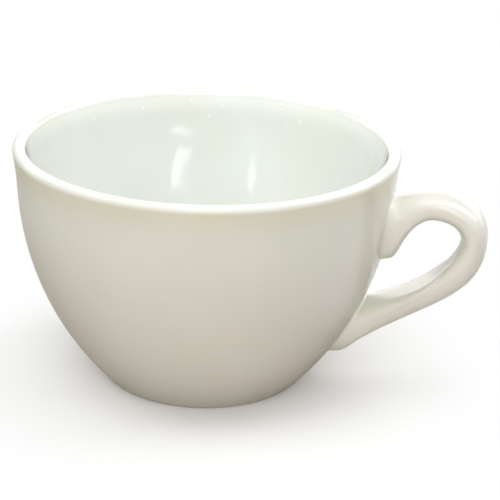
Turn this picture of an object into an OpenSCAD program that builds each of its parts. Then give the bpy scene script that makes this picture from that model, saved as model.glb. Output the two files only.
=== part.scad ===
// Latte cup: a formed porcelain bowl and a cast handle, joined to it at two places with slip.
// Millimetres, +Z up. The origin is the centre of the standing plane, and the handle points along +X.
// A point in a profile or a rail is [distance from the axis, height].

/* [Bowl] */
// Diameter over the lip
rim_d = 110; // [100:1:120]
// Height from the standing plane to the top of the lip
cup_h = 70; // [66:1:80]
// Thickness of the wall and of the lip
wall_t = 3.8; // [3:0.1:5]
// How far the lip flares out past the straight upper wall
lip_flare = 0.4; // [0:0.1:1.5]
// Height over which the flare dies out below the lip
flare_h = 7; // [4:0.5:10]
// Lean of the straight upper wall from upright, in degrees
taper_a = 4; // [1:0.5:8]
// Length of the straight upper wall
taper_l = 13; // [11:0.5:20]
// Diameter at the edge where the belly rounds into the standing ring
foot_d = 58.4; // [50:0.2:66]
// Height of that edge above the standing plane
foot_edge_h = 0.6; // [0.3:0.1:1.2]

/* [Floor and base] */
// Height of the floor inside above the standing plane
floor_z = 6.5; // [5.5:0.5:9]
// Radius of the curve from the wall into the floor
floor_round = 18; // [10:1:24]
// Width of the flat standing ring
ring_w = 3; // [2:0.5:5]
// Depth of the hollow inside the standing ring
hollow_h = 2.5; // [1:0.25:3.5]
// Slope of the hollow's side from upright, in degrees
hollow_a = 30; // [10:5:50]

/* [Handle] */
// How far the handle stands out past the lip
handle_out = 25.8; // [22:0.2:34]
// How far the handle's highest point stands out past the lip
crown_out = 10.6; // [8:0.2:14]
// Drop from the rim to the handle's highest point
crown_drop = 8.8; // [6:0.2:12]
// Drop from the rim to the handle's outermost point
bend_drop = 22.1; // [20:0.1:26]
// Thickness at the highest point
crown_t = 7.6; // [6:0.2:10]
// Thickness at the outermost point
bend_t = 7.5; // [5:0.1:10]
// Width of the grip
grip_w = 15; // [9:0.5:18]
// Width of each end at the wall
root_w = 17.5; // [13:0.5:22]
// Squareness of the cross-section, where 2 is an ellipse
section_n = 2.8; // [2:0.1:4]

/* [Handle ends] */
// Drop from the rim to the top edge of the upper end
upper_root_drop = 11.7; // [10:0.1:15]
// Drop from the rim to the tip of the upper tail
upper_tail_drop = 29.1; // [27:0.1:33]
// Drop from the rim to the inner edge of the lower end
lower_root_drop = 43.6; // [40:0.2:47]
// Drop from the rim to the tip of the lower tail
lower_tail_drop = 59.2; // [56:0.2:62]
// How far the rounded nose of the upper tail stands off the wall
upper_nose_out = 3.6; // [2.5:0.1:5.5]
// How far that nose rises from the tail's tip
upper_nose_up = 2.2; // [1:0.1:3]
// How far the rounded nose of the lower tail stands off the wall
lower_nose_out = 5; // [4:0.1:8]
// How far that nose rises from the tail's tip
lower_nose_up = 2.7; // [1:0.1:4]

/* [Slip joints] */
// Thickness of the slip between the wall and the handle
slip_t = 0.8; // [0.4:0.1:1.5]
// How far the slip spreads beside the handle's upper end
upper_bead = 2.4; // [0.5:0.1:3.5]
// How far the slip spreads beside the handle's lower end
lower_bead = 0.6; // [0.3:0.1:2]
// How far the slip spreads above and below each end
tip_bead = 0.6; // [0.3:0.1:2]
// Clearance between the slip and the wall's true curve
seat_gap = 0.04; // [0.02:0.01:0.1]

/* [Hidden] */
$fn = 96;

// Rise of the handle's top edge as it leaves the wall, and slopes of its other edges, in degrees
upper_root_a = 18;
upper_tail_a = 61;
lower_root_a = 16;
lower_tail_a = 37;
// Length of the pull that shapes each curve of the handle at its start and at its end
upper_edge_pull = [1.5, 6];
arch_pull = [1.2, 5.8];
inner_limb_pull = [1.2, 24];
outer_limb_pull = [17, 24.5];
// Share of a quarter ellipse's half axis that a curve's pull takes
quarter_pull = 0.5523;
// Share of a nose's size that its curve's pulls take
nose_pull = 0.6;
// Share of the handle's length over which each end widens
root_share = 0.3;
// Least distance that each ring of the handle gains on the wall
ring_lift = 0.15;
// Share of a bead's spread and thickness that is left at its hollow
hollow_share = 1 / 3;

// Steps along each kind of curve, sides of the handle, and rings inside its end faces
belly_steps = 12;
round_steps = 6;
lip_steps = 10;
flare_steps = 4;
rail_steps = 6;
sides = 24;
disc_rings = 3;

// Bowl: the straight wall, then one arc that leaves it smoothly and ends at the foot's edge
rim_r = rim_d / 2;
lip_r = wall_t / 2;
lip_z = cup_h - lip_r;
wall_dir = [sin(taper_a), cos(taper_a)];
taper_top = [rim_r - lip_flare, lip_z];
taper_end = taper_top - taper_l * wall_dir;
foot_edge = [foot_d / 2, foot_edge_h];
belly_chord = taper_end - foot_edge;
belly_half_a = atan2(belly_chord.x, belly_chord.y) - taper_a;
belly_r = norm(belly_chord) / (2 * sin(belly_half_a));
foot_a = taper_a + 2 * belly_half_a;
belly_c = taper_end - belly_r * facing(taper_a);

// Foot: a small arc from the belly's edge down to the standing ring
foot_round = foot_edge_h / (1 - sin(foot_a));
foot_c = foot_edge - foot_round * facing(foot_a);
ring_out_r = foot_c.x;
ring_in_r = ring_out_r - ring_w;
hollow_r = ring_in_r - hollow_h * tan(hollow_a);

// Inside: the wall's offset, then an arc that leaves it smoothly and ends flat on the floor
inner_belly_r = belly_r - wall_t;
floor_c_z = floor_z + floor_round;
floor_a = asin((belly_c.y - floor_c_z) / (inner_belly_r - floor_round));
floor_c = belly_c + (inner_belly_r - floor_round) * facing(floor_a);

// Handle: where its end faces lie, without any bead, and the heights that the drops give
root_out = seat_gap + slip_t;
no_bead = [0, 0];
upper_root_z = cup_h - upper_root_drop;
upper_tail_z = cup_h - upper_tail_drop;
lower_root_z = cup_h - lower_root_drop;
lower_tail_z = cup_h - lower_tail_drop;
crown = [rim_r + crown_out, cup_h - crown_drop];
bend = [rim_r + handle_out, cup_h - bend_drop];
crown_in = crown - [0, crown_t];
bend_in = bend - [bend_t, 0];
upper_nose = [upper_nose_out, upper_nose_up];
lower_nose = [lower_nose_out, lower_nose_up];

// Direction in which a wall faces that leans in by a degrees towards the foot
function facing(a) = [cos(a), -sin(a)];

// Direction that rises outwards at a degrees
function rising(a) = [cos(a), sin(a)];

// Points of an arc whose wall leans by a0 to a1 degrees
function lean_arc(c, r, a0, a1, n) = [for (i = [0:n]) c + r * facing(a0 + (a1 - a0) * i / n)];

// Distance from the axis of the surface that lies out past the wall, at height z
function wall_r(z, out = 0) =
    let (
        joint = taper_end + out * facing(taper_a),
        flare = lip_flare * pow(max(0, 1 - (lip_z - z) / flare_h), 2)
    )
    z > joint.y
        ? joint.x + (z - joint.y) * tan(taper_a) + flare
        : belly_c.x + sqrt(pow(belly_r + out, 2) - pow(z - belly_c.y, 2));

// Points up the flaring lip, on the surface that lies out past the wall
function flare_path(out) = [
    for (i = [0:flare_steps])
        let (z = lip_z - flare_h * (1 - i / flare_steps))
        [wall_r(z, out), z]
];

// Point at share t of a cubic curve
function curve_at(p, t) =
    pow(1 - t, 3) * p[0] + 3 * t * pow(1 - t, 2) * p[1] + 3 * t * t * (1 - t) * p[2] + pow(t, 3) * p[3];

// Quarter ellipse from the crown of a rail to its outermost point
function quarter(top, side) = [
    top,
    top + [quarter_pull * (side.x - top.x), 0],
    side + [0, quarter_pull * (top.y - side.y)],
    side
];

// Rounded nose of a tail, from the wall out to the point where the tail's edge slopes off at a degrees
function nose(foot, size, a) = [
    foot,
    foot + [nose_pull * size.x, 0],
    foot + size - nose_pull * norm(size) * rising(a),
    foot + size
];

// The same curve run the other way
function back_along(p) = [p[3], p[2], p[1], p[0]];

// Points along a rail, which is a list of curves with a number of steps for each
function rail_points(curves, steps) = concat(
    [for (i = [0:len(curves) - 1]) for (j = [0:steps[i] - 1]) curve_at(curves[i], j / steps[i])],
    [curves[len(curves) - 1][3]]
);

// Outer rail: the upper end's top edge, the crown, the bend, the underside and the lower tail
function outer_rail() =
    let (
        start = [wall_r(upper_root_z, root_out), upper_root_z],
        tip = [wall_r(lower_tail_z, root_out), lower_tail_z],
        rise = start + upper_edge_pull[0] * rising(upper_root_a),
        tail = nose(tip, lower_nose, lower_tail_a)
    )
    rail_points([
        [start, rise, crown - [upper_edge_pull[1], 0], crown],
        quarter(crown, bend),
        [bend, bend - [0, outer_limb_pull[0]], tail[3] + outer_limb_pull[1] * rising(lower_tail_a), tail[3]],
        back_along(tail)
    ], rail_steps * [2, 1, 2, 1]);

// Inner rail: the upper tail, the arch over the finger gap, the bend and the lower limb's upper edge
function inner_rail() =
    let (
        tip = [wall_r(upper_tail_z, root_out), upper_tail_z],
        end = [wall_r(lower_root_z, root_out), lower_root_z],
        tail = nose(tip, upper_nose, upper_tail_a)
    )
    rail_points([
        tail,
        [tail[3], tail[3] + arch_pull[0] * rising(upper_tail_a), crown_in - [arch_pull[1], 0], crown_in],
        quarter(crown_in, bend_in),
        [bend_in, bend_in - [0, inner_limb_pull[0]], end + inner_limb_pull[1] * rising(lower_root_a), end]
    ], rail_steps * [1, 1, 1, 3]);

// Signed power that turns a circle into a squarer section
function squared(x) = sign(x) * pow(abs(x), 2 / section_n);

// Section of unit half sizes: [along the thickness, along the width]
function section() = [for (j = [0:sides - 1]) let (a = 360 * j / sides) [squared(cos(a)), squared(sin(a))]];

// Half width of the handle at share s of its length
function half_width(s) =
    let (ends = pow(max(0, 1 - s / root_share), 2) + pow(max(0, 1 - (1 - s) / root_share), 2))
    (grip_w + (root_w - grip_w) * ends) / 2;

// Point on the surface that lies out past the wall
function on_wall(y, z, out) = [sqrt(pow(wall_r(z, out), 2) - y * y), y, z];

// Ring of an end face on the wall, shrunk to a share, with a bead of slip beside the face and at its tips
function root_ring(z_outer, z_inner, bead, out, share) =
    let (half = (z_outer - z_inner) / 2, mid = (z_outer + z_inner) / 2)
    [for (p = section()) on_wall(
        share * p[1] * (root_w / 2 + bead.x),
        mid + share * p[0] * (half + sign(half) * bead.y),
        out
    )];

// Middle point of an end face
function root_middle(z_outer, z_inner, out) = on_wall(0, (z_outer + z_inner) / 2, out);

// Rings of the handle between its end faces, each between the two rails
function limb_rings() =
    let (outer = outer_rail(), inner = inner_rail(), last = len(outer) - 1)
    [for (i = [1:last - 1])
        let (
            mid = (outer[i] + inner[i]) / 2,
            half = (outer[i] - inner[i]) / 2,
            out = root_out + ring_lift * min(i, last - i),
            w = half_width(i / last)
        )
        [for (p = section())
            let (r = mid.x + p[0] * half.x, z = mid.y + p[0] * half.y, y = p[1] * w)
            [max(r, sqrt(pow(wall_r(z, out), 2) - y * y)), y, z]]
    ];

// Solid skinned over a list of rings, closed by a middle point at each end
module skin(first, rings, last) {
    n = len(rings);
    points = concat([first], [for (r = rings) each r], [last]);
    bands = [
        for (i = [0:n - 2])
            for (j = [0:sides - 1])
                let (a = 1 + i * sides, k = (j + 1) % sides)
                each [[a + j, a + sides + j, a + k], [a + k, a + sides + j, a + sides + k]]
    ];
    first_fan = [for (j = [0:sides - 1]) [0, 1 + j, 1 + (j + 1) % sides]];
    z = 1 + (n - 1) * sides;
    last_fan = [for (j = [0:sides - 1]) [z + sides, z + (j + 1) % sides, z + j]];
    polyhedron(points, concat(first_fan, bands, last_fan));
}

// Slip between the wall and one end of the handle, with a hollow bead round it
module slip_joint(z_outer, z_inner, side_bead) {
    bead = [side_bead, tip_bead];
    wall_face = [for (i = [1:disc_rings]) root_ring(z_outer, z_inner, bead, seat_gap, i / disc_rings)];
    hollow = root_ring(z_outer, z_inner, hollow_share * bead, seat_gap + hollow_share * slip_t, 1);
    handle_face = [for (i = [disc_rings:-1:1]) root_ring(z_outer, z_inner, no_bead, root_out, i / disc_rings)];
    skin(
        root_middle(z_outer, z_inner, seat_gap),
        concat(wall_face, [hollow], handle_face),
        root_middle(z_outer, z_inner, root_out)
    );
}

// Bowl with its lip, floor and standing ring
module cup_body() {
    foot = lean_arc(foot_c, foot_round, 90, foot_a, round_steps);
    belly = lean_arc(belly_c, belly_r, foot_a, taper_a, belly_steps);
    lip_c = [rim_r - lip_r, lip_z];
    lip = [for (i = [1:lip_steps]) lip_c + lip_r * rising(180 * i / lip_steps)];
    inner_flare = flare_path(-wall_t);
    inner_flare_down = [for (i = [flare_steps - 1:-1:0]) inner_flare[i]];
    inner_belly = lean_arc(belly_c, inner_belly_r, taper_a, floor_a, belly_steps);
    floor_curve = lean_arc(floor_c, floor_round, floor_a, 90, round_steps);
    base = [[0, floor_z], [0, hollow_h], [hollow_r, hollow_h], [ring_in_r, 0]];
    color("whitesmoke")
        rotate_extrude()
            polygon(concat(
                foot,
                [for (i = [1:belly_steps]) belly[i]],
                flare_path(0),
                lip,
                inner_flare_down,
                inner_belly,
                [for (i = [1:round_steps]) floor_curve[i]],
                base
            ));
}

// Ear-shaped handle whose two tails lie against the wall
module handle() {
    upper = [upper_root_z, upper_tail_z];
    lower = [lower_tail_z, lower_root_z];
    upper_face = [for (i = [1:disc_rings]) root_ring(upper[0], upper[1], no_bead, root_out, i / disc_rings)];
    lower_face = [for (i = [disc_rings:-1:1]) root_ring(lower[0], lower[1], no_bead, root_out, i / disc_rings)];
    color("ivory")
        skin(
            root_middle(upper[0], upper[1], root_out),
            concat(upper_face, limb_rings(), lower_face),
            root_middle(lower[0], lower[1], root_out)
        );
}

// Slip at the handle's upper end
module upper_slip_joint() {
    color("linen") slip_joint(upper_root_z, upper_tail_z, upper_bead);
}

// Slip at the handle's lower end
module lower_slip_joint() {
    color("linen") slip_joint(lower_tail_z, lower_root_z, lower_bead);
}

cup_body();
handle();
upper_slip_joint();
lower_slip_joint();
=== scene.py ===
"""Latte cup: a glazed porcelain bowl, its cast handle and the two joints of slip between them.

Metres, +Z up. The origin is the centre of the standing plane, and the handle points along +X.
A point in a profile or a rail is [distance from the axis, height].
"""

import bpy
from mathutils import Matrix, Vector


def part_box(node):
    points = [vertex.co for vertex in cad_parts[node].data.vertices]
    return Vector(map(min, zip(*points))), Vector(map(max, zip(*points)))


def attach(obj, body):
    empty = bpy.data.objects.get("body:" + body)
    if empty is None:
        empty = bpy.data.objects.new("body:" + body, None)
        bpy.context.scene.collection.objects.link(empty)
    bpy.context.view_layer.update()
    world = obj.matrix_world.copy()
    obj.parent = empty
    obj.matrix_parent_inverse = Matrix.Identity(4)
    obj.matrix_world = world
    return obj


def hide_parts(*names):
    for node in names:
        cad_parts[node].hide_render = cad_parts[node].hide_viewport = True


bl_info = {
    "name": "Latte Cup",
    "version": (1, 0, 0),
    "blender": (4, 5, 0),
    "location": "3D View > Sidebar > Latte Cup",
    "description": "Dresses the latte cup in glazed porcelain and sets it in a small studio",
    "category": "Object",
}

import math
from collections import namedtuple

import bmesh
import bpy
import numpy as np
from bpy.props import FloatProperty, FloatVectorProperty, IntProperty, PointerProperty
from mathutils import Quaternion, Vector

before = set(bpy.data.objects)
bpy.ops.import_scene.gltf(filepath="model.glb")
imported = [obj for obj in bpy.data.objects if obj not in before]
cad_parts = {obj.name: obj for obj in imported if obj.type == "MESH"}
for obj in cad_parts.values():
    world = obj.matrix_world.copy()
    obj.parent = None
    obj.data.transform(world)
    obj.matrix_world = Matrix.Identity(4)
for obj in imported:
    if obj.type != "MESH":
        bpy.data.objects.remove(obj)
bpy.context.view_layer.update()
BOWL_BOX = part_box("cup_body")
HANDLE_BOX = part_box("handle")

MM = 0.001
RIM_D = 2 * min(BOWL_BOX[1].x, -BOWL_BOX[0].x)
CUP_H = BOWL_BOX[1].z
HANDLE_OUT = HANDLE_BOX[1].x - BOWL_BOX[1].x


# Kinds of property

def length(label, description, default_mm):
    default = default_mm * MM
    return FloatProperty(name=label, description=description, default=default, precision=5, unit="LENGTH")


def angle(label, description, default_deg):
    default = math.radians(default_deg)
    return FloatProperty(name=label, description=description, default=default, subtype="ANGLE")


def number(label, description, default):
    return FloatProperty(name=label, description=description, default=default)


def count(label, description, default):
    return IntProperty(name=label, description=description, default=default, min=1)


def colour(label, description, red, green, blue):
    """Colour that is given as it looks on a screen, from 0 to 255, and kept as the light it sends back."""
    light = [((c / 255 + 0.055) / 1.055) ** 2.4 for c in (red, green, blue)]
    default = (*light, 1.0)
    return FloatVectorProperty(name=label, description=description, default=default, size=4, subtype="COLOR")


class BowlSizes(bpy.types.PropertyGroup):
    rim_d: length("Rim diameter", "Diameter over the lip", RIM_D / MM)
    cup_h: length("Height", "From the standing plane to the top of the lip", CUP_H / MM)
    wall_t: length("Wall", "Thickness of the wall and of the lip", 3.8)
    lip_flare: length("Lip flare", "How far the lip flares out past the straight upper wall", 0.4)
    flare_h: length("Flare height", "Height over which the flare dies out below the lip", 7)
    taper_a: angle("Taper", "Lean of the straight upper wall from upright", 4)
    taper_l: length("Taper length", "Length of the straight upper wall", 13)
    foot_d: length("Foot diameter", "Diameter at the edge where the belly rounds into the foot", 58.4)
    foot_edge_h: length("Foot edge", "Height of that edge above the standing plane", 0.6)
    floor_z: length("Floor height", "Height of the floor inside above the standing plane", 6.5)
    floor_round: length("Floor round", "Radius of the curve from the wall into the floor", 18)
    ring_w: length("Ring width", "Width of the flat standing ring", 3)
    hollow_h: length("Hollow", "Depth of the hollow inside the standing ring", 2.5)
    hollow_a: angle("Hollow slope", "Slope of the hollow's side from upright", 30)
    base_round: length("Base rounding", "Softening of the corners of the standing ring and its hollow", 0.8)
    segments: count("Segments", "Steps round the bowl", 240)


class HandleSizes(bpy.types.PropertyGroup):
    handle_out: length("Reach", "How far the handle stands out past the lip", HANDLE_OUT / MM)
    crown_out: length("Crown reach", "How far the highest point stands out past the lip", 10.6)
    crown_drop: length("Crown drop", "Drop from the rim to the highest point", 8.8)
    bend_drop: length("Bend drop", "Drop from the rim to the outermost point", 22.1)
    crown_t: length("Crown thickness", "Thickness at the highest point", 7.6)
    bend_t: length("Bend thickness", "Thickness at the outermost point", 7.5)
    grip_w: length("Grip width", "Width of the grip", 15)
    root_w: length("End width", "Width of each end at the wall", 17.5)
    section_n: number("Squareness", "Squareness of the cross-section, where 2 is an ellipse", 2.8)
    bend_n: number("Bend squareness", "The same on the inner side of the bend", 2.0)
    limb_n: number("Limb squareness", "The same on the upper side of the lower limb", 5.0)
    upper_root_drop: length("Upper end", "Drop from the rim to the top edge of the upper end", 11.7)
    upper_tail_drop: length("Upper tail", "Drop from the rim to the tip of the upper tail", 29.1)
    lower_root_drop: length("Lower end", "Drop from the rim to the inner edge of the lower end", 43.6)
    lower_tail_drop: length("Lower tail", "Drop from the rim to the tip of the lower tail", 59.2)
    upper_nose_out: length("Upper nose", "How far the upper tail's nose stands off the wall", 3.6)
    upper_nose_up: length("Upper nose rise", "How far that nose rises from the tail's tip", 2.2)
    lower_nose_out: length("Lower nose", "How far the lower tail's nose stands off the wall", 5.0)
    lower_nose_up: length("Lower nose rise", "How far that nose rises from the tail's tip", 2.7)
    slip_t: length("Slip", "Thickness of the slip between the wall and the handle", 0.84)
    upper_bead: length("Upper bead", "How far the slip spreads beside the handle's upper end", 2.4)
    lower_bead: length("Lower bead", "How far the slip spreads beside the handle's lower end", 0.35)
    tip_bead: length("Tip bead", "How far the slip spreads above and below each end", 0.6)
    upper_climb: length("Upper climb", "How far the slip climbs along the handle at its upper end", 2.8)
    lower_climb: length("Lower climb", "How far the slip climbs along the handle at its lower end", 1.1)


class GlazeColours(bpy.types.PropertyGroup):
    outside: colour("Outside", "Glaze on the outside of the bowl", 235, 235, 227)
    handle: colour("Handle", "Glaze on the handle, where it lies a little thicker", 233, 232, 223)
    # Partly painted light: the inside is painted cooler and a little brighter, standing in for the cool
    # light that fills the bowl.
    inside: colour("Inside", "Glaze inside the bowl, where it lies thicker and looks cooler", 238, 242, 237)
    # Painted light: the round of the lip is painted whiter, standing in for the light that falls on its top.
    lip: colour("Lip", "Glaze over the round of the lip", 239, 242, 236)
    # Painted highlight: the band just inside the lip is painted the whitest, standing in for the light on
    # the rim's inner face.
    below_lip: colour("Below the lip", "Whitest glaze, just inside the lip", 250, 252, 247)
    # Painted shade: the band below the lip is painted warmer, standing in for the shade under the lip's
    # flare.
    painted_lip_shade: colour("Painted lip shade", "Painted lip shade below the lip, which shows the warm body", 236, 235, 216)
    pooled: colour("Pooled glaze", "Where the glaze gathers in a corner", 226, 226, 218)
    bisque: colour("Bisque", "Bare porcelain of the standing ring", 214, 205, 190)
    speck: colour("Speck", "Iron specks in the glaze", 150, 138, 122)
    # Painted glints: the bubbles below the rim are painted near white, standing in for the highlights that
    # they catch.
    bubble: colour("Bubble", "Small bubbles in the glaze below the rim", 254, 254, 252)


class StudioSettings(bpy.types.PropertyGroup):
    view_azimuth: angle("View azimuth", "Side that the camera looks from", 12)
    view_elevation: angle("View elevation", "Height of the camera above the horizon", 17.95)
    view_distance: length("View distance", "From the middle of the rim to the camera", 500)
    view_roll: angle("View roll", "Turn of the camera about its own line of sight", 1.62)
    aim_right: length("Aim right", "Point aimed at, to the right of the bowl's axis", 12.9)
    aim_z: length("Aim height", "Height of the point aimed at", 37.1)
    lens: number("Lens", "Focal length in millimetres on a 36 mm sensor", 126.68)
    floor: colour("Floor", "Colour of the floor as it shows", 250, 250, 250)
    shadow_reach: length("Shadow reach", "How far from the axis the floor shows the cup's shadow", 20)
    white_from: length("White from", "Distance from the axis past which the floor shows plain white", 95)
    floor_bounce: colour("Floor bounce", "Light that the floor throws back on the cup", 165, 155, 146)
    ambient: colour("Ambient light", "Light of the room", 255, 249, 238)
    ambient_level: number("Ambient level", "Strength of the light of the room", 0.04)


# Outer face of the bowl's wall

def facing(a):
    """Direction in which a wall faces that leans in by an angle towards the foot."""
    return np.array([math.cos(a), -math.sin(a)])


def rising(a):
    """Direction that rises outwards at an angle."""
    return np.array([math.cos(a), math.sin(a)])


def lean_arc(centre, radius, start, end, steps):
    """Points of an arc whose wall leans by start to end."""
    return np.array([centre + radius * facing(a) for a in np.linspace(start, end, steps + 1)])


class Wall:
    """A straight taper with a flared lip, and one arc that leaves it smoothly down to the foot's edge."""

    def __init__(self, sizes):
        self.sizes = sizes
        self.rim_r = sizes.rim_d / 2
        self.lip_r = sizes.wall_t / 2
        self.lip_z = sizes.cup_h - self.lip_r
        self.taper_a = sizes.taper_a
        down = -np.array([math.sin(self.taper_a), math.cos(self.taper_a)])
        self.taper_end = np.array([self.rim_r - sizes.lip_flare, self.lip_z]) + sizes.taper_l * down
        self.foot_edge = np.array([sizes.foot_d / 2, sizes.foot_edge_h])
        chord = self.taper_end - self.foot_edge
        half_a = math.atan2(chord[0], chord[1]) - self.taper_a
        self.belly_r = np.linalg.norm(chord) / (2 * math.sin(half_a))
        self.foot_a = self.taper_a + 2 * half_a
        self.belly_c = self.taper_end - self.belly_r * facing(self.taper_a)

    def radius(self, z, out=0.0):
        """Distance from the axis of the surface that lies out past the wall, at height z."""
        joint = self.taper_end + out * facing(self.taper_a)
        flare = self.sizes.lip_flare * np.maximum(0, 1 - (self.lip_z - z) / self.sizes.flare_h) ** 2
        straight = joint[0] + (z - joint[1]) * math.tan(self.taper_a) + flare
        arc = self.belly_c[0] + np.sqrt((self.belly_r + out) ** 2 - (z - self.belly_c[1]) ** 2)
        return np.where(z > joint[1], straight, arc)

    def points(self, y, z, out):
        """Points of that surface on the handle's side, at given y and z."""
        return np.stack([np.sqrt(self.radius(z, out) ** 2 - y ** 2), y, z], axis=-1)


def softened(corner, before, after, size, steps):
    """Curve that rounds a corner between the points before and after it."""
    to_before = (before - corner) / np.linalg.norm(before - corner)
    to_after = (after - corner) / np.linalg.norm(after - corner)
    share = np.linspace(0, 1, steps + 1)[:, None]
    start = corner + size * to_before
    end = corner + size * to_after
    return (1 - share) ** 2 * start + 2 * share * (1 - share) * corner + share ** 2 * end


def straight(start, end, steps):
    """Points between two ends, without the ends."""
    share = np.linspace(0, 1, steps + 1)[1:-1, None]
    return start + share * (end - start)


# Steps along each stretch of the bowl's section
DISC_STEPS = 14
CORNER_STEPS = 8
HOLLOW_STEPS = 4
RING_STEPS = 6
FOOT_STEPS = 12
BELLY_STEPS = 56
TAPER_STEPS = 8
FLARE_STEPS = 14
LIP_STEPS = 30
INNER_BELLY_STEPS = 48
FLOOR_CURVE_STEPS = 28


def bowl_profile(sizes):
    """Run of the bowl's section from the middle of its underside, over the lip, to the middle of its floor.
    Also gives the run's length at each point, counted from the top of the lip, positive inside."""
    wall = Wall(sizes)
    foot_round = sizes.foot_edge_h / (1 - math.sin(wall.foot_a))
    foot_c = wall.foot_edge - foot_round * facing(wall.foot_a)
    ring_in = np.array([foot_c[0] - sizes.ring_w, 0])
    hollow = np.array([ring_in[0] - sizes.hollow_h * math.tan(sizes.hollow_a), sizes.hollow_h])
    under_middle = np.array([0, sizes.hollow_h])
    ring_out = np.array([foot_c[0], 0])
    hollow_bend = softened(hollow, under_middle, ring_in, sizes.base_round, CORNER_STEPS)
    ring_bend = softened(ring_in, hollow, ring_out, sizes.base_round, CORNER_STEPS)
    foot = lean_arc(foot_c, foot_round, math.pi / 2, wall.foot_a, FOOT_STEPS)
    belly = lean_arc(wall.belly_c, wall.belly_r, wall.foot_a, wall.taper_a, BELLY_STEPS)

    flare_z = np.linspace(wall.lip_z - sizes.flare_h, wall.lip_z, FLARE_STEPS + 1)
    outer_flare = np.column_stack([wall.radius(flare_z), flare_z])
    inner_flare = np.column_stack([wall.radius(flare_z, -sizes.wall_t), flare_z])[::-1]
    lip_c = np.array([wall.rim_r - wall.lip_r, wall.lip_z])
    lip_turn = np.linspace(0, math.pi, LIP_STEPS + 1)
    lip = np.array([lip_c + wall.lip_r * rising(a) for a in lip_turn])

    inner_r = wall.belly_r - sizes.wall_t
    floor_c_z = sizes.floor_z + sizes.floor_round
    floor_a = math.asin((wall.belly_c[1] - floor_c_z) / (inner_r - sizes.floor_round))
    floor_c = wall.belly_c + (inner_r - sizes.floor_round) * facing(floor_a)
    inner_belly = lean_arc(wall.belly_c, inner_r, wall.taper_a, floor_a, INNER_BELLY_STEPS)
    floor_curve = lean_arc(floor_c, sizes.floor_round, floor_a, math.pi / 2, FLOOR_CURVE_STEPS)
    floor_middle = np.array([0, sizes.floor_z])

    outer = np.concatenate([
        [under_middle], straight(under_middle, hollow_bend[0], DISC_STEPS), hollow_bend,
        straight(hollow_bend[-1], ring_bend[0], HOLLOW_STEPS), ring_bend,
        straight(ring_bend[-1], foot[0], RING_STEPS), foot, belly[1:],
        straight(belly[-1], outer_flare[0], TAPER_STEPS), outer_flare[:-1],
    ])
    inner = np.concatenate([
        inner_flare[1:], straight(inner_flare[-1], inner_belly[0], TAPER_STEPS), inner_belly,
        floor_curve[1:], straight(floor_curve[-1], floor_middle, DISC_STEPS), [floor_middle],
    ])
    profile = np.concatenate([outer, lip, inner])
    steps = np.linalg.norm(np.diff(profile, axis=0), axis=1)
    run = np.concatenate([[0], np.cumsum(steps)])
    return profile, run - run[np.argmax(profile[:, 1])]


# Rails and rings of the handle

# Rings for each ring of the CAD solid, rings along a short stretch of the rails, and points round a ring
FINE = 6
RAIL_STEPS = 6 * FINE
SIDES = 72

# Slopes of the rails near the wall
UPPER_ROOT_A = math.radians(18)
UPPER_TAIL_A = math.radians(61)
LOWER_ROOT_A = math.radians(16)
LOWER_TAIL_A = math.radians(37)

# How far each curve runs on in its first and its last direction, as lengths or as shares of its size
UPPER_EDGE_PULL = (1.5 * MM, 6 * MM)
ARCH_PULL = (1.2 * MM, 5.8 * MM)
INNER_LIMB_PULL = (1.2 * MM, 24 * MM)
OUTER_LIMB_PULL = (17 * MM, 24.5 * MM)
QUARTER_PULL = 0.5523
NOSE_PULL = 0.6

# Share of the rails over which an end widens, and shares at which the inner squareness changes
ROOT_SHARE = 0.3
INNER_SHARES = (0.3, 0.42, 0.72, 0.86, 0.94, 1.0)

# Least rise of each ring off the wall past the one before it, and the softness of that limit
RING_LIFT = 0.15 * MM / FINE
CLEAR_OF_WALL = 0.3 * MM


def curve(p, steps):
    """Points of a cubic curve, without its last one."""
    p = np.array(p)
    t = np.linspace(0, 1, steps + 1)[:-1].reshape(-1, *[1] * (p.ndim - 1))
    return (1 - t) ** 3 * p[0] + 3 * t * (1 - t) ** 2 * p[1] + 3 * t ** 2 * (1 - t) * p[2] + t ** 3 * p[3]


def across(x):
    return np.array([x, 0])


def upward(z):
    return np.array([0, z])


def quarter(top, side):
    """Quarter ellipse from the crown of a rail to its outermost point."""
    pull = QUARTER_PULL * (side - top)
    return [top, top + across(pull[0]), side - upward(pull[1]), side]


def nose(foot, size, a):
    """Rounded nose of a tail, from the wall out to where the tail's edge slopes off at an angle."""
    end = foot + size
    slope = NOSE_PULL * np.linalg.norm(size) * rising(a)
    return [foot, foot + across(NOSE_PULL * size[0]), end - slope, end]


def rail(curves, steps):
    """Points along a list of curves."""
    return np.concatenate([*(curve(p, n) for p, n in zip(curves, steps)), [curves[-1][3]]])


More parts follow.
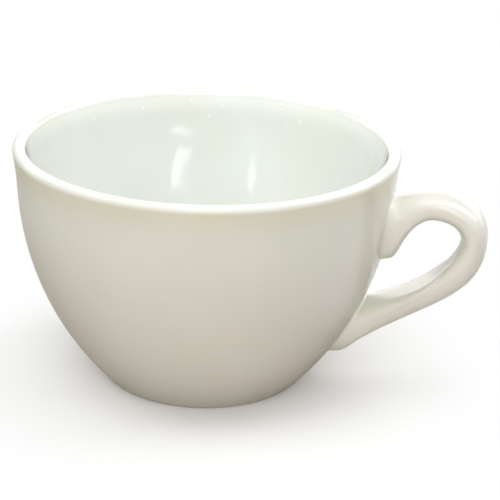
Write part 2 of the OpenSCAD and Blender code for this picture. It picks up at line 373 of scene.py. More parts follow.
class HandleForm:
    """Rings of the handle between an outer and an inner rail, with a face on the wall at each end."""

    def __init__(self, sizes, wall, cup_h):
        self.sizes = sizes
        self.wall = wall
        self.upper = (cup_h - sizes.upper_root_drop, cup_h - sizes.upper_tail_drop)
        self.lower = (cup_h - sizes.lower_tail_drop, cup_h - sizes.lower_root_drop)
        self.crown = np.array([wall.rim_r + sizes.crown_out, cup_h - sizes.crown_drop])
        self.bend = np.array([wall.rim_r + sizes.handle_out, cup_h - sizes.bend_drop])
        self.thick, self.wide = self.section(sizes.section_n)

    def section(self, inner_n):
        """Section of unit half sizes, along the thickness and the width, with its own squareness inside."""
        turn = np.linspace(0, 2 * math.pi, SIDES, endpoint=False)
        power = 2 / np.where(np.cos(turn) < 0, inner_n, self.sizes.section_n)
        thick = np.sign(np.cos(turn)) * np.abs(np.cos(turn)) ** power
        wide = np.sign(np.sin(turn)) * np.abs(np.sin(turn)) ** power
        return thick, wide

    def at_wall(self, z):
        return np.array([float(self.wall.radius(z, self.sizes.slip_t)), z])

    def outer_rail(self):
        start = self.at_wall(self.upper[0])
        size = np.array([self.sizes.lower_nose_out, self.sizes.lower_nose_up])
        tail = nose(self.at_wall(self.lower[0]), size, LOWER_TAIL_A)
        rise = start + UPPER_EDGE_PULL[0] * rising(UPPER_ROOT_A)
        slope = tail[3] + OUTER_LIMB_PULL[1] * rising(LOWER_TAIL_A)
        return rail([
            [start, rise, self.crown - across(UPPER_EDGE_PULL[1]), self.crown],
            quarter(self.crown, self.bend),
            [self.bend, self.bend - upward(OUTER_LIMB_PULL[0]), slope, tail[3]],
            tail[::-1],
        ], [2 * RAIL_STEPS, RAIL_STEPS, 2 * RAIL_STEPS, RAIL_STEPS])

    def inner_rail(self):
        crown = self.crown - upward(self.sizes.crown_t)
        bend = self.bend - across(self.sizes.bend_t)
        end = self.at_wall(self.lower[1])
        size = np.array([self.sizes.upper_nose_out, self.sizes.upper_nose_up])
        tail = nose(self.at_wall(self.upper[1]), size, UPPER_TAIL_A)
        slope = end + INNER_LIMB_PULL[1] * rising(LOWER_ROOT_A)
        return rail([
            tail,
            [tail[3], tail[3] + ARCH_PULL[0] * rising(UPPER_TAIL_A), crown - across(ARCH_PULL[1]), crown],
            quarter(crown, bend),
            [bend, bend - upward(INNER_LIMB_PULL[0]), slope, end],
        ], [RAIL_STEPS, RAIL_STEPS, RAIL_STEPS, 3 * RAIL_STEPS])

    def root_ring(self, ends, bead, out, share=1.0):
        """Outline of an end face on the wall, with a bead beside it and at its tips, shrunk to a share."""
        half = (ends[0] - ends[1]) / 2
        tip = math.copysign(self.sizes.tip_bead, half) if bead else 0.0
        y = share * self.wide * (self.sizes.root_w / 2 + bead)
        z = (ends[0] + ends[1]) / 2 + share * self.thick * (half + tip)
        return self.wall.points(y, z, out)

    def root_face(self, ends, bead, out, rings):
        """Rings of an end face from near its middle out to its outline."""
        return [self.root_ring(ends, bead, out, (i + 1) / rings) for i in range(rings)]

    def root_middle(self, ends, out):
        return self.wall.points(np.array(0.0), np.array((ends[0] + ends[1]) / 2), out)

    def limb_rings(self):
        outer = self.outer_rail()
        inner = self.inner_rail()
        last = len(outer) - 1
        plain, round_bend, edged = self.sizes.section_n, self.sizes.bend_n, self.sizes.limb_n
        inner_ns = (plain, round_bend, round_bend, edged, edged, plain)
        rings = []
        for i in range(1, last):
            s = i / last
            widening = max(0, 1 - s / ROOT_SHARE) ** 2 + max(0, 1 - (1 - s) / ROOT_SHARE) ** 2
            half_w = (self.sizes.grip_w + (self.sizes.root_w - self.sizes.grip_w) * widening) / 2
            middle = (outer[i] + inner[i]) / 2
            half = (outer[i] - inner[i]) / 2
            thick, wide = self.section(np.interp(s, INNER_SHARES, inner_ns))
            x = middle[0] + thick * half[0]
            z = middle[1] + thick * half[1]
            y = wide * half_w
            least = self.wall.points(y, z, self.sizes.slip_t + RING_LIFT * min(i, last - i))[:, 0]
            gap = x - least
            soft = CLEAR_OF_WALL * min(1.0, min(i, last - i) / FINE)
            x = least + (gap + np.sqrt(gap ** 2 + soft ** 2)) / 2
            rings.append(np.stack([x, y, z], axis=-1))
        return rings


# Meshes

def skin(first, rings, last):
    """Vertices and faces of a closed skin over rings of equal count, with a middle point at each end."""
    sides = len(rings[0])
    verts = np.concatenate([[first], *rings, [last]])
    faces = []
    for i in range(len(rings) - 1):
        a = 1 + i * sides
        for j in range(sides):
            k = (j + 1) % sides
            faces.append((a + j, a + sides + j, a + sides + k, a + k))
    z = 1 + (len(rings) - 1) * sides
    for j in range(sides):
        k = (j + 1) % sides
        faces.append((0, 1 + j, 1 + k))
        faces.append((z + sides, z + k, z + j))
    return verts, faces


FOLD_A = math.radians(60)


def face_outwards(mesh):
    """Turns every face of a closed mesh outwards and shades it smooth."""
    work = bmesh.new()
    work.from_mesh(mesh)
    bmesh.ops.recalc_face_normals(work, faces=work.faces)
    work.to_mesh(mesh)
    work.free()
    mesh.shade_smooth()
    mesh.set_sharp_from_angle(angle=FOLD_A)


def new_piece(name, verts, faces, material):
    mesh = bpy.data.meshes.new(name)
    mesh.from_pydata([tuple(v) for v in verts], [], faces)
    face_outwards(mesh)
    mesh.materials.append(material)
    piece = bpy.data.objects.new(name, mesh)
    bpy.context.scene.collection.objects.link(piece)
    return piece


def stand_for(piece, node):
    """Puts a piece in the place of its CAD node."""
    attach(piece, "root")
    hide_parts(node)


# Node trees

def open_socket(sockets, name):
    """First socket of that name that is in use."""
    return next(s for s in sockets if s.name == name and s.enabled)


def add(tree, kind, inputs=None, **settings):
    """Adds a node, sets it up, and fills its inputs with values or links."""
    node = tree.nodes.new(kind)
    for name, value in settings.items():
        setattr(node, name, value)
    for name, value in (inputs or {}).items():
        socket = node.inputs[name] if isinstance(name, int) else open_socket(node.inputs, name)
        if isinstance(value, bpy.types.NodeSocket):
            tree.links.new(value, socket)
        else:
            socket.default_value = value
    return node


def out(node, name):
    return open_socket(node.outputs, name)


def math_node(tree, operation, *values, clamp=False):
    node = add(tree, "ShaderNodeMath", dict(enumerate(values)), operation=operation, use_clamp=clamp)
    return node.outputs[0]


def remap(tree, value, low, high, to_low=0.0, to_high=1.0):
    """Smooth step of a value from one range to another."""
    node = add(tree, "ShaderNodeMapRange", {
        "Value": value, "From Min": low, "From Max": high, "To Min": to_low, "To Max": to_high,
    }, interpolation_type="SMOOTHSTEP")
    return out(node, "Result")


def mix_colour(tree, factor, a, b, blend="MIX"):
    inputs = {"Factor": factor, "A": a, "B": b}
    return out(add(tree, "ShaderNodeMix", inputs, data_type="RGBA", blend_type=blend), "Result")


def new_group(name, kind, inputs, outputs):
    """Node group with named sockets, as {name: socket type}. Gives the group and both rows of sockets."""
    tree = bpy.data.node_groups.new(name, kind)
    for socket, socket_type in inputs.items():
        tree.interface.new_socket(name=socket, in_out="INPUT", socket_type=socket_type)
    for socket, socket_type in outputs.items():
        tree.interface.new_socket(name=socket, in_out="OUTPUT", socket_type=socket_type)
    return tree, tree.nodes.new("NodeGroupInput").outputs, tree.nodes.new("NodeGroupOutput").inputs


def use_group(tree, group, inputs):
    return add(tree, "ShaderNodeGroup", inputs, node_tree=group)


# Revolving the bowl

LIP_RUN = "lip_run"
MERGE_GAP = 0.001 * MM


def revolve_tree():
    """Turns a profile, which is a chain of points in the XZ plane, into a closed bowl."""
    tree, given, result = new_group(
        "Revolved Bowl", "GeometryNodeTree",
        {"Profile": "NodeSocketGeometry", "Segments": "NodeSocketInt", "Merge": "NodeSocketFloat",
         "Glaze": "NodeSocketMaterial"},
        {"Bowl": "NodeSocketGeometry"},
    )
    size = add(tree, "GeometryNodeAttributeDomainSize", {"Geometry": given["Profile"]}, component="MESH")
    columns = math_node(tree, "ADD", given["Segments"], 1.0)
    grid = add(tree, "GeometryNodeMeshGrid", {"Vertices X": out(size, "Point Count"), "Vertices Y": columns})
    index = add(tree, "GeometryNodeInputIndex").outputs[0]
    row = math_node(tree, "FLOOR", math_node(tree, "DIVIDE", math_node(tree, "ADD", index, 0.5), columns))
    column = math_node(tree, "SUBTRACT", index, math_node(tree, "MULTIPLY", row, columns))
    turn = math_node(tree, "MULTIPLY", math_node(tree, "DIVIDE", column, given["Segments"]), 2 * math.pi)

    def from_profile(data_type, field):
        """Value of a field at the profile's point for this row of the grid."""
        inputs = {"Geometry": given["Profile"], "Value": field, "Index": row}
        node = add(tree, "GeometryNodeSampleIndex", inputs, data_type=data_type, domain="POINT")
        return out(node, "Value")

    place = from_profile("FLOAT_VECTOR", add(tree, "GeometryNodeInputPosition").outputs[0])
    named_run = add(tree, "GeometryNodeInputNamedAttribute", {"Name": LIP_RUN}, data_type="FLOAT")
    lip_run = from_profile("FLOAT", out(named_run, "Attribute"))
    turned = add(tree, "ShaderNodeVectorRotate", {"Vector": place, "Angle": turn}, rotation_type="Z_AXIS")
    marked = add(tree, "GeometryNodeStoreNamedAttribute", {
        "Geometry": out(grid, "Mesh"), "Name": LIP_RUN, "Value": lip_run,
    }, data_type="FLOAT", domain="POINT")
    placed = add(tree, "GeometryNodeSetPosition", {
        "Geometry": out(marked, "Geometry"), "Position": turned.outputs[0],
    })
    closed = add(tree, "GeometryNodeMergeByDistance", {
        "Geometry": out(placed, "Geometry"), "Distance": given["Merge"],
    })
    smooth = add(tree, "GeometryNodeSetShadeSmooth", {"Geometry": out(closed, "Geometry")})
    realized = add(tree, "GeometryNodeRealizeInstances", {"Geometry": out(smooth, "Geometry")})
    glazed = add(tree, "GeometryNodeSetMaterial", {
        "Geometry": out(realized, "Geometry"), "Material": given["Glaze"],
    })
    tree.links.new(out(glazed, "Geometry"), result["Bowl"])
    return tree


def revolved(name, profile, run, segments, material):
    """Plain mesh object of the revolved profile."""
    chain = bpy.data.meshes.new(name + "_profile")
    chain.from_pydata([(r, 0, z) for r, z in profile], [(i, i + 1) for i in range(len(profile) - 1)], [])
    chain.attributes.new(LIP_RUN, "FLOAT", "POINT").data.foreach_set("value", run.astype(np.float32))
    piece = bpy.data.objects.new(name, chain)
    bpy.context.scene.collection.objects.link(piece)
    tree = revolve_tree()
    modifier = piece.modifiers.new("Revolve", "NODES")
    modifier.node_group = tree
    values = {"Segments": segments, "Merge": MERGE_GAP, "Glaze": material}
    for socket in tree.interface.items_tree:
        if socket.in_out == "INPUT" and socket.name in values:
            modifier[socket.identifier] = values[socket.name]
    graph = bpy.context.evaluated_depsgraph_get()
    mesh = bpy.data.meshes.new_from_object(piece.evaluated_get(graph))
    piece.modifiers.remove(modifier)
    piece.data = mesh
    mesh.name = name
    mesh.materials.clear()
    mesh.materials.append(material)
    bpy.data.meshes.remove(chain)
    face_outwards(mesh)
    return piece


# Glaze

# Cloudy pattern: features per metre, levels of finer detail, and a shift that keeps patterns apart
Noise = namedtuple("Noise", "scale detail shift", defaults=(2.0, (0.0, 0.0, 0.0)))
LIP_SHADE_NOISE = Noise(70.0)
EDGE_NOISE = Noise(220.0)
WAVE_NOISE = Noise(60.0, 1.0)
PEEL_NOISE = Noise(700.0, 1.0, (0.2, 0.5, 0.1))
GLOSS_NOISE = Noise(45.0, 2.0, (0.7, 0.2, 0.4))

# Span of a pattern over which its effect comes up, and what the effect goes from and to
LIP_SHADE_SPAN = (0.2, 0.8)
LIP_SHADE_SHARE = (0.75, 1.0)
GLOSS_SPAN = (0.3, 0.8)
GLOSS_SHARE = (0.9, 1.2)

# Warm and cool clouds, each with its tint
Cloud = namedtuple("Cloud", "noise span tint")
CLOUDS = (
    Cloud(Noise(28.0), (0.35, 0.75), (0.97, 0.93, 0.90, 1.0)),
    Cloud(Noise(34.0, 2.0, (0.3, 0.1, 0.2)), (0.4, 0.8), (0.93, 0.96, 0.93, 1.0)),
)
CLOUD_SHARE = 0.5

# Dots: cells per metre, and the span from a cell's middle over which a dot fades out, in cells
Dots = namedtuple("Dots", "scale fade")
SPECK_DOTS = Dots(75.0, (0.02, 0.035))
BUBBLE_AND_GLINT_DOTS = Dots(260.0, (0.1, 0.18))
BUBBLE_AND_GLINT_SHARE = 0.9

# Relief of the glaze, where 1 is the height of a bubble
BUBBLE_H = 0.12 * MM
WAVES = 0.2
PEEL = 0.02

# Gloss
GLAZE_IOR = 1.5
COAT_ROUGHNESS = 0.05
BARE_ROUGHNESS = 0.6
GRAZING_SPAN = (0.35, 0.75)


def object_place(tree):
    """The piece's own place in space."""
    return add(tree, "ShaderNodeTexCoord").outputs["Object"]


def noise(tree, pattern):
    """Cloudy value round 0.5."""
    shifted = add(tree, "ShaderNodeMapping", {"Vector": object_place(tree), "Location": pattern.shift})
    inputs = {"Vector": shifted.outputs[0], "Scale": pattern.scale, "Detail": pattern.detail}
    return add(tree, "ShaderNodeTexNoise", inputs).outputs[0]


def dots(tree, pattern, share):
    """1 on round dots, one in each of a share of the cells."""
    cells = add(tree, "ShaderNodeTexVoronoi", {"Vector": object_place(tree), "Scale": pattern.scale})
    near = remap(tree, out(cells, "Distance"), *pattern.fade, 1.0, 0.0)
    chosen = add(tree, "ShaderNodeSeparateColor", {"Color": out(cells, "Color")}).outputs[0]
    return math_node(tree, "MULTIPLY", near, math_node(tree, "LESS_THAN", chosen, share))


def glaze_colour_group():
    """Glaze with faint clouds, a painted warm shade below the lip, pooled places, and a few iron specks."""
    colour_type, value_type = "NodeSocketColor", "NodeSocketFloat"
    tree, given, result = new_group(
        "Glaze Colour", "ShaderNodeTree",
        {"Glaze": colour_type, "Painted Lip Shade": colour_type, "Painted Lip Shade Share": value_type, "Pooled Glaze": colour_type,
         "Pooled": value_type, "Clouds": value_type, "Speck": colour_type, "Speck Share": value_type},
        {"Colour": colour_type},
    )
    # Uneven share of the painted shade below the lip
    uneven = remap(tree, noise(tree, LIP_SHADE_NOISE), *LIP_SHADE_SPAN, *LIP_SHADE_SHARE)
    painted_lip_shade = math_node(tree, "MULTIPLY", given["Painted Lip Shade Share"], uneven)
    base = mix_colour(tree, painted_lip_shade, given["Glaze"], given["Painted Lip Shade"])
    base = mix_colour(tree, given["Pooled"], base, given["Pooled Glaze"])
    for cloud in CLOUDS:
        cloudy = remap(tree, noise(tree, cloud.noise), *cloud.span)
        share = math_node(tree, "MULTIPLY", cloudy, given["Clouds"])
        base = mix_colour(tree, share, base, cloud.tint, "MULTIPLY")
    speck = dots(tree, SPECK_DOTS, given["Speck Share"])
    tree.links.new(mix_colour(tree, speck, base, given["Speck"]), result["Colour"])
    return tree


def glaze_surface_group():
    """Slow waves, fine peel and bubbles of a fired glaze as a height, and patchy gloss as a roughness. Also
    gives the bubbles' mask, by which they are painted white as glints.
    """
    value_type = "NodeSocketFloat"
    tree, given, result = new_group(
        "Glaze Surface", "ShaderNodeTree",
        {"Waves": value_type, "Peel": value_type, "Bubbles": value_type, "Gloss Roughness": value_type},
        {"Height": value_type, "Roughness": value_type, "Bubble": value_type},
    )
    waves = math_node(tree, "MULTIPLY", noise(tree, WAVE_NOISE), given["Waves"])
    peel = math_node(tree, "MULTIPLY", noise(tree, PEEL_NOISE), given["Peel"])
    bubble = math_node(tree, "MULTIPLY", dots(tree, BUBBLE_AND_GLINT_DOTS, BUBBLE_AND_GLINT_SHARE), given["Bubbles"])
    height = math_node(tree, "ADD", math_node(tree, "ADD", waves, peel), bubble)
    patchy = remap(tree, noise(tree, GLOSS_NOISE), *GLOSS_SPAN, *GLOSS_SHARE)
    roughness = math_node(tree, "MULTIPLY", patchy, given["Gloss Roughness"])
    for name, value in (("Height", height), ("Roughness", roughness), ("Bubble", bubble)):
        tree.links.new(value, result[name])
    return tree


def shared_group(name, make):
    """Group of that name, made the first time that it is asked for."""
    return bpy.data.node_groups.get(name) or make()


# Roughness of the glaze, how much rougher it is at grazing angles, strength of its mirror image, and masks
# of a clear coat, of bubbles, which are also painted white as glints, and of bare porcelain
Finish = namedtuple("Finish", "gloss dull mirror coat bubbles bare", defaults=(None, 0.0, None))


def glazed_material(name, mask_maker):
    """Glazed porcelain. mask_maker adds nodes to the tree and gives the glaze's own inputs and a Finish."""
    colours = bpy.context.scene.latte_cup_glaze
    material = bpy.data.materials.new(name)
    material.use_nodes = True
    tree = material.node_tree
    shader = tree.nodes["Principled BSDF"]
    glaze, finish = mask_maker(tree, colours)
    tone = use_group(tree, shared_group("Glaze Colour", glaze_colour_group), {
        "Painted Lip Shade": colours.painted_lip_shade, "Pooled Glaze": colours.pooled, "Speck": colours.speck,
        "Clouds": CLOUD_SHARE, **glaze,
    })
    surface = use_group(tree, shared_group("Glaze Surface", glaze_surface_group), {
        "Waves": WAVES, "Peel": PEEL, "Bubbles": finish.bubbles, "Gloss Roughness": finish.gloss,
    })
    # Painted glints: the bubbles are painted near white.
    base = mix_colour(tree, out(surface, "Bubble"), out(tone, "Colour"), colours.bubble)
    roughness = out(surface, "Roughness")
    if finish.bare is not None:
        base = mix_colour(tree, finish.bare, base, colours.bisque)
        rougher = math_node(tree, "MULTIPLY", finish.bare, BARE_ROUGHNESS)
        roughness = math_node(tree, "ADD", roughness, rougher, clamp=True)
    facing_away = add(tree, "ShaderNodeLayerWeight", {"Blend": 0.5}).outputs["Facing"]
    grazing = remap(tree, facing_away, *GRAZING_SPAN)
    roughness = math_node(tree, "ADD", roughness, math_node(tree, "MULTIPLY", grazing, finish.dull))
    relief = {"Strength": 1.0, "Distance": BUBBLE_H, "Height": out(surface, "Height")}
    tree.links.new(base, shader.inputs["Base Color"])
    tree.links.new(roughness, shader.inputs["Roughness"])
    tree.links.new(add(tree, "ShaderNodeBump", relief).outputs[0], shader.inputs["Normal"])
    if finish.coat is not None:
        tree.links.new(finish.coat, shader.inputs["Coat Weight"])
        shader.inputs["Coat Roughness"].default_value = COAT_ROUGHNESS
    shader.inputs["IOR"].default_value = GLAZE_IOR
    shader.inputs["Specular IOR Level"].default_value = finish.mirror
    return material


# Stretch of the run over the lip, positive inside, where something comes up and dies out again, such as a
# painted light, a painted shade or bubbles with painted glints
Band = namedtuple("Band", "rise fall")
INSIDE_RISE = (-1.5 * MM, 2.5 * MM)
# Band of the painted warm shade below the lip
PAINTED_LIP_SHADE_BAND = Band((-10 * MM, -4.5 * MM), (-3.4 * MM, -1.8 * MM))
LIP_BAND = Band((-2.8 * MM, -1.4 * MM), (2 * MM, 6.5 * MM))
WHITE_BAND = Band((1.6 * MM, 3.2 * MM), (2.5 * MM, 9 * MM))
# Band of the bubbles, which stand in relief and are painted white as glints
BUBBLE_AND_GLINT_BAND = Band((2.5 * MM, 4 * MM), (8 * MM, 11 * MM))

# Wavering upper edge of the bare standing ring
BARE_FALL = (0.45 * MM, 0.6 * MM)
BARE_WAVER = 0.5 * MM

# Gloss of the bowl, with a clear coat inside and a weaker one outside, beside the handle
OUTSIDE_ROUGHNESS = 0.32
INSIDE_ROUGHNESS = 0.05
OUTSIDE_DULL = 0.55
BESIDE_HANDLE_X = (34 * MM, 44 * MM)
BESIDE_HANDLE_Z = (24 * MM, 34 * MM)
BESIDE_HANDLE_COAT = 0.7


def band(tree, run, limits):
    """1 inside a band of the run, and 0 outside it."""
    rise = remap(tree, run, *limits.rise)
    return math_node(tree, "MULTIPLY", rise, remap(tree, run, *limits.fall, 1.0, 0.0))


def bowl_masks(tree, colours):
    """Inside glaze painted cooler and brighter as painted light, painted light over the lip and a painted
    highlight just inside it, painted warm shade below the lip outside, no glaze on the standing ring.
    """
    run = add(tree, "ShaderNodeAttribute", attribute_name=LIP_RUN).outputs["Fac"]
    inside = remap(tree, run, *INSIDE_RISE)
    # Partly painted light: the inside is painted cooler and a little brighter.
    glaze = mix_colour(tree, inside, colours.outside, colours.inside)
    # Painted light over the round of the lip
    glaze = mix_colour(tree, band(tree, run, LIP_BAND), glaze, colours.lip)
    # Painted highlight just inside the lip
    glaze = mix_colour(tree, band(tree, run, WHITE_BAND), glaze, colours.below_lip)
    place = add(tree, "ShaderNodeSeparateXYZ", {"Vector": object_place(tree)}).outputs
    bare_edge = math_node(tree, "MULTIPLY_ADD", noise(tree, EDGE_NOISE), BARE_WAVER, place["Z"])
    to_handle = remap(tree, place["X"], *BESIDE_HANDLE_X)
    beside_handle = math_node(tree, "MULTIPLY", to_handle, remap(tree, place["Z"], *BESIDE_HANDLE_Z))
    outside_coat = math_node(tree, "MULTIPLY", beside_handle, BESIDE_HANDLE_COAT)
    return {"Glaze": glaze, "Painted Lip Shade Share": band(tree, run, PAINTED_LIP_SHADE_BAND), "Speck Share": 0.02}, Finish(
        gloss=remap(tree, run, *INSIDE_RISE, OUTSIDE_ROUGHNESS, INSIDE_ROUGHNESS),
        dull=remap(tree, run, *INSIDE_RISE, OUTSIDE_DULL, 0.0),
        mirror=0.35,
        coat=math_node(tree, "MAXIMUM", inside, outside_coat),
        bubbles=band(tree, run, BUBBLE_AND_GLINT_BAND),
        bare=remap(tree, bare_edge, *BARE_FALL, 1.0, 0.0),
    )


def handle_masks(tree, colours):
    """Plain glaze all over."""
    return {"Glaze": colours.handle, "Speck Share": 0.01}, Finish(gloss=0.09, dull=0.13, mirror=0.5)


def joint_masks(tree, colours):
    """Glaze gathered in the corner."""
    return {"Glaze": colours.handle, "Pooled": 0.1}, Finish(gloss=0.1, dull=0.1, mirror=0.5)


# Pieces

class BuildBowl(bpy.types.Operator):
    """Revolve the bowl and glaze it"""
    bl_idname = "latte_cup.build_bowl"
    bl_label = "Bowl"

    def execute(self, context):
        sizes = context.scene.latte_cup_bowl
        profile, run = bowl_profile(sizes)
        glaze = glazed_material("bowl_glaze", bowl_masks)
        bowl = revolved("bowl", profile, run, sizes.segments, glaze)
        stand_for(bowl, "cup_body")
        return {"FINISHED"}


HANDLE_FACE_RINGS = 4


def handle_form(scene):
    bowl = scene.latte_cup_bowl
    return HandleForm(scene.latte_cup_handle, Wall(bowl), bowl.cup_h)


class BuildHandle(bpy.types.Operator):
    """Loft the handle between its rails and glaze it"""
    bl_idname = "latte_cup.build_handle"
    bl_label = "Handle"

    def execute(self, context):
        form = handle_form(context.scene)
        slip_t = form.sizes.slip_t
        rings = form.root_face(form.upper, 0.0, slip_t, HANDLE_FACE_RINGS)
        rings += form.limb_rings()
        rings += form.root_face(form.lower, 0.0, slip_t, HANDLE_FACE_RINGS)[::-1]
        upper_middle = form.root_middle(form.upper, slip_t)
        lower_middle = form.root_middle(form.lower, slip_t)
        verts, faces = skin(upper_middle, rings, lower_middle)
        handle = new_piece("cast_handle", verts, faces, glazed_material("handle_glaze", handle_masks))
        stand_for(handle, "handle")
        return {"FINISHED"}


def along_handle(rings, distance):
    """Point of each side's line, that runs through the rings, at a distance from the first ring."""
    lines = np.array(rings)
    steps = np.linalg.norm(np.diff(lines, axis=0), axis=2)
    runs = np.concatenate([np.zeros((1, lines.shape[1])), np.cumsum(steps, axis=0)])
    points = []
    for j in range(lines.shape[1]):
        points.append([np.interp(distance, runs[:, j], lines[:, j, k]) for k in range(3)])
    return np.array(points)


FILLET_PULL = 0.6
FILLET_STEPS = 16
FUSED_T = 0.03 * MM
TANGENT_STEP = 0.2 * MM
WALL_FACE_RINGS = 3
INNER_FACE_SHARES = (0.66, 0.33)


def slip_joint(form, ends, rings, bead, climb_run):
    """Slip between the wall and one end of the handle, with a hollow fillet up to the handle's sides."""
    edge = form.root_ring(ends, bead, -FUSED_T)
    corner = form.root_ring(ends, 0.0, 0.0)
    lines = [corner, *rings]
    climb = along_handle(lines, climb_run)
    before = along_handle(lines, climb_run - TANGENT_STEP)
    along = (climb - before) / np.linalg.norm(climb - before, axis=1)[:, None]
    pull = FILLET_PULL * np.linalg.norm(climb - corner, axis=1)[:, None]
    leave = edge + FILLET_PULL * (corner - edge)
    fillet = list(curve([edge, leave, climb - pull * along, climb], FILLET_STEPS)) + [climb]
    middle = climb.mean(axis=0)
    inner = [middle + (climb - middle) * share for share in INNER_FACE_SHARES]
    wall_face = form.root_face(ends, bead, -FUSED_T, WALL_FACE_RINGS)[:-1]
    return skin(form.root_middle(ends, -FUSED_T), wall_face + fillet + inner, middle)


class BuildSlipJoints(bpy.types.Operator):
    """Fill the corners between the handle and the wall with slip and glaze them"""
    bl_idname = "latte_cup.build_slip_joints"
    bl_label = "Slip joints"

    def execute(self, context):
        form = handle_form(context.scene)
        limb = form.limb_rings()
        glaze = glazed_material("joint_glaze", joint_masks)
        sizes = form.sizes
        for name, node, ends, rings, bead, climb in (
            ("upper_joint", "upper_slip_joint", form.upper, limb, sizes.upper_bead, sizes.upper_climb),
            ("lower_joint", "lower_slip_joint", form.lower, limb[::-1], sizes.lower_bead, sizes.lower_climb),
        ):
            first_ring = form.root_ring(ends, 0.0, sizes.slip_t)
            verts, faces = slip_joint(form, ends, [first_ring, *rings], bead, climb)
            stand_for(new_piece(name, verts, faces, glaze), node)
        return {"FINISHED"}


# Stage

# Lights: a softbox lights and shows in the glaze, a fill only lights, and a strip only shows in the glaze.
# Angles are in degrees and lengths in metres, and the level is the brightness of the lamp's face.
SOFTBOX, FILL, STRIP = "softbox", "fill", "strip"
SOFTBOX_W = 0.7
SOFTBOX_DISTANCE = 1.1
STRIP_DISTANCE = 1.6
Lamp = namedtuple("Lamp", "side kind azimuth elevation level colour width height distance",
                  defaults=(SOFTBOX_W, SOFTBOX_W, SOFTBOX_DISTANCE))
LAMPS = (
    Lamp("top", SOFTBOX, 12, 84, 2.1, (0.98, 0.98, 1.0)),
    Lamp("front", SOFTBOX, 12, 30, 2.8, (0.97, 0.98, 1.0)),
    Lamp("low_front", FILL, 12, 12, 2.4, (1.0, 0.97, 0.92)),
    Lamp("left", SOFTBOX, -60, 38, 0.9, (1.0, 1.0, 0.88)),
    Lamp("high_left", SOFTBOX, -75, 58, 2.2, (0.94, 0.97, 1.0)),
    Lamp("right", SOFTBOX, 120, 38, 2.5, (1.0, 0.97, 0.9)),
    Lamp("high_right", SOFTBOX, 120, 60, 1.5, (0.9, 0.95, 1.0)),
    Lamp("back_left", SOFTBOX, -120, 15, 1.4, (1.0, 0.95, 0.92)),
    Lamp("back", SOFTBOX, 180, 8, 1.3, (1.0, 1.0, 1.0), 1.8, 0.5),
    Lamp("back_left", STRIP, -128, 17.6, 75.0, (1.0, 1.0, 0.93), 0.42, 0.032, STRIP_DISTANCE),
    Lamp("high_back_left", STRIP, -137.5, 19.2, 70.0, (1.0, 1.0, 0.95), 0.45, 0.020, STRIP_DISTANCE),
    Lamp("back_right", STRIP, 130, 17.8, 100.0, (1.0, 1.0, 0.95), 0.24, 0.026, STRIP_DISTANCE),
)
WHITE = (1.0, 1.0, 1.0, 1.0)
FLOOR_HALF = 4.0
FLOOR_DROP = 0.02 * MM
SENSOR_W = 36.0
CLIP_START = 0.01


def towards(azimuth, elevation):
    """Direction from the cup to a side. Azimuth 0 is -Y and 90 is +X."""
    flat = math.cos(elevation)
    return Vector((math.sin(azimuth) * flat, -math.cos(azimuth) * flat, math.sin(elevation)))


def look(place, aim):
    """Turn that faces an object's -Z from its place to the aim, with its Y up."""
    return (aim - place).to_track_quat("-Z", "Y")


def add_lamp(lamp, aim):
    """Rectangular soft lamp that faces the aim."""
    name = f"{lamp.side}_{lamp.kind}"
    light = bpy.data.lights.new(name, "AREA")
    light.shape = "RECTANGLE"
    light.size, light.size_y = lamp.width, lamp.height
    light.energy = lamp.level * math.pi * lamp.width * lamp.height
    light.color = lamp.colour
    holder = bpy.data.objects.new(name, light)
    side = towards(math.radians(lamp.azimuth), math.radians(lamp.elevation))
    holder.location = aim + lamp.distance * side
    holder.rotation_euler = look(holder.location, aim).to_euler()
    holder.visible_diffuse = lamp.kind != STRIP
    holder.visible_glossy = lamp.kind != FILL
    bpy.context.scene.collection.objects.link(holder)


def seen_directly(tree):
    """1 for rays that show the stage itself, in the camera, in gloss or in glass."""
    path = add(tree, "ShaderNodeLightPath").outputs
    seen = math_node(tree, "MAXIMUM", path["Is Camera Ray"], path["Is Glossy Ray"])
    return math_node(tree, "MAXIMUM", seen, path["Is Transmission Ray"])


def mix_shader(tree, factor, first, second):
    return add(tree, "ShaderNodeMixShader", {0: factor, 1: first.outputs[0], 2: second.outputs[0]})


def add_floor(settings):
    """Pale floor that keeps the cup's shadow and turns plain white further off."""
    signs = ((-1, -1), (1, -1), (1, 1), (-1, 1))
    corners = [(x * FLOOR_HALF, y * FLOOR_HALF, -FLOOR_DROP) for x, y in signs]
    mesh = bpy.data.meshes.new("studio_floor")
    mesh.from_pydata(corners, [], [(0, 1, 2, 3)])
    material = bpy.data.materials.new("studio_floor")
    material.use_nodes = True
    tree = material.node_tree
    tree.nodes.remove(tree.nodes["Principled BSDF"])
    bounce = add(tree, "ShaderNodeBsdfDiffuse", {"Color": settings.floor_bounce})
    near = add(tree, "ShaderNodeBsdfDiffuse", {"Color": settings.floor})
    far = add(tree, "ShaderNodeEmission", {"Color": WHITE, "Strength": 1.0})
    distance = add(tree, "ShaderNodeVectorMath", {0: object_place(tree)}, operation="LENGTH").outputs
    away = remap(tree, distance["Value"], settings.shadow_reach, settings.white_from)
    shown = mix_shader(tree, away, near, far)
    mix = mix_shader(tree, seen_directly(tree), bounce, shown)
    tree.links.new(mix.outputs[0], tree.nodes["Material Output"].inputs["Surface"])
    mesh.materials.append(material)
    floor = bpy.data.objects.new("studio_floor", mesh)
    bpy.context.scene.collection.objects.link(floor)


def add_world(scene, settings):
    """Faint light of the room, which shows as plain white."""
    world = bpy.data.worlds.new("studio_room")
    world.use_nodes = True
    tree = world.node_tree
    shown = add(tree, "ShaderNodeBackground", {"Color": WHITE, "Strength": 1.0})
    light = tree.nodes["Background"]
    light.inputs["Color"].default_value = settings.ambient
    light.inputs["Strength"].default_value = settings.ambient_level
    mix = mix_shader(tree, seen_directly(tree), light, shown)
    tree.links.new(mix.outputs[0], tree.nodes["World Output"].inputs["Surface"])
    scene.world = world


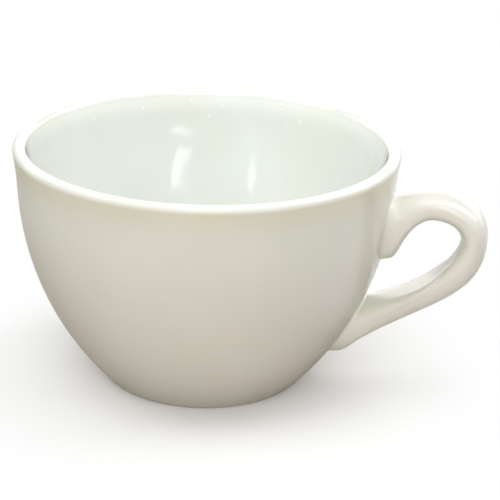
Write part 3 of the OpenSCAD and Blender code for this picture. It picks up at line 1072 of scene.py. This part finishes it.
def add_camera(scene, settings, rim):
    camera = bpy.data.cameras.new("photo_view")
    camera.sensor_width = SENSOR_W
    camera.lens = settings.lens
    camera.clip_start = CLIP_START
    holder = bpy.data.objects.new("photo_view", camera)
    azimuth = settings.view_azimuth
    right = Vector((math.cos(azimuth), math.sin(azimuth), 0))
    aim = settings.aim_right * right + Vector((0, 0, settings.aim_z))
    holder.location = rim + settings.view_distance * towards(azimuth, settings.view_elevation)
    holder.rotation_mode = "QUATERNION"
    holder.rotation_quaternion = look(holder.location, aim) @ Quaternion((0, 0, 1), settings.view_roll)
    scene.collection.objects.link(holder)
    scene.camera = holder


class BuildStage(bpy.types.Operator):
    """Lay the floor, hang the lamps and set up the camera"""
    bl_idname = "latte_cup.build_stage"
    bl_label = "Stage"

    def execute(self, context):
        scene = context.scene
        settings = scene.latte_cup_studio
        rim = Vector((0, 0, scene.latte_cup_bowl.cup_h))
        add_floor(settings)
        for lamp in LAMPS:
            add_lamp(lamp, rim)
        add_world(scene, settings)
        add_camera(scene, settings, rim)
        scene.view_settings.view_transform = "Standard"
        scene.cycles.sample_clamp_indirect = 0.0
        return {"FINISHED"}


OPERATORS = (BuildBowl, BuildHandle, BuildSlipJoints, BuildStage)
GROUPS = {
    "latte_cup_bowl": BowlSizes,
    "latte_cup_handle": HandleSizes,
    "latte_cup_glaze": GlazeColours,
    "latte_cup_studio": StudioSettings,
}


class LatteCupPanel(bpy.types.Panel):
    """Buttons and settings of the latte cup"""
    bl_idname = "VIEW3D_PT_latte_cup"
    bl_label = "Latte Cup"
    bl_space_type = "VIEW_3D"
    bl_region_type = "UI"
    bl_category = "Latte Cup"

    def draw(self, context):
        for operator in OPERATORS:
            self.layout.operator(operator.bl_idname)
        for name, group in GROUPS.items():
            box = self.layout.box()
            for setting in group.__annotations__:
                box.prop(getattr(context.scene, name), setting)


def register():
    for group in GROUPS.values():
        bpy.utils.register_class(group)
    for name, group in GROUPS.items():
        setattr(bpy.types.Scene, name, PointerProperty(type=group))
    for operator in OPERATORS:
        bpy.utils.register_class(operator)
    bpy.utils.register_class(LatteCupPanel)


def unregister():
    bpy.utils.unregister_class(LatteCupPanel)
    for operator in reversed(OPERATORS):
        bpy.utils.unregister_class(operator)
    for name, group in GROUPS.items():
        delattr(bpy.types.Scene, name)
        bpy.utils.unregister_class(group)


def main():
    register()
    bpy.ops.latte_cup.build_bowl()
    bpy.ops.latte_cup.build_handle()
    bpy.ops.latte_cup.build_slip_joints()
    bpy.ops.latte_cup.build_stage()


if __name__ == "__main__":
    main()
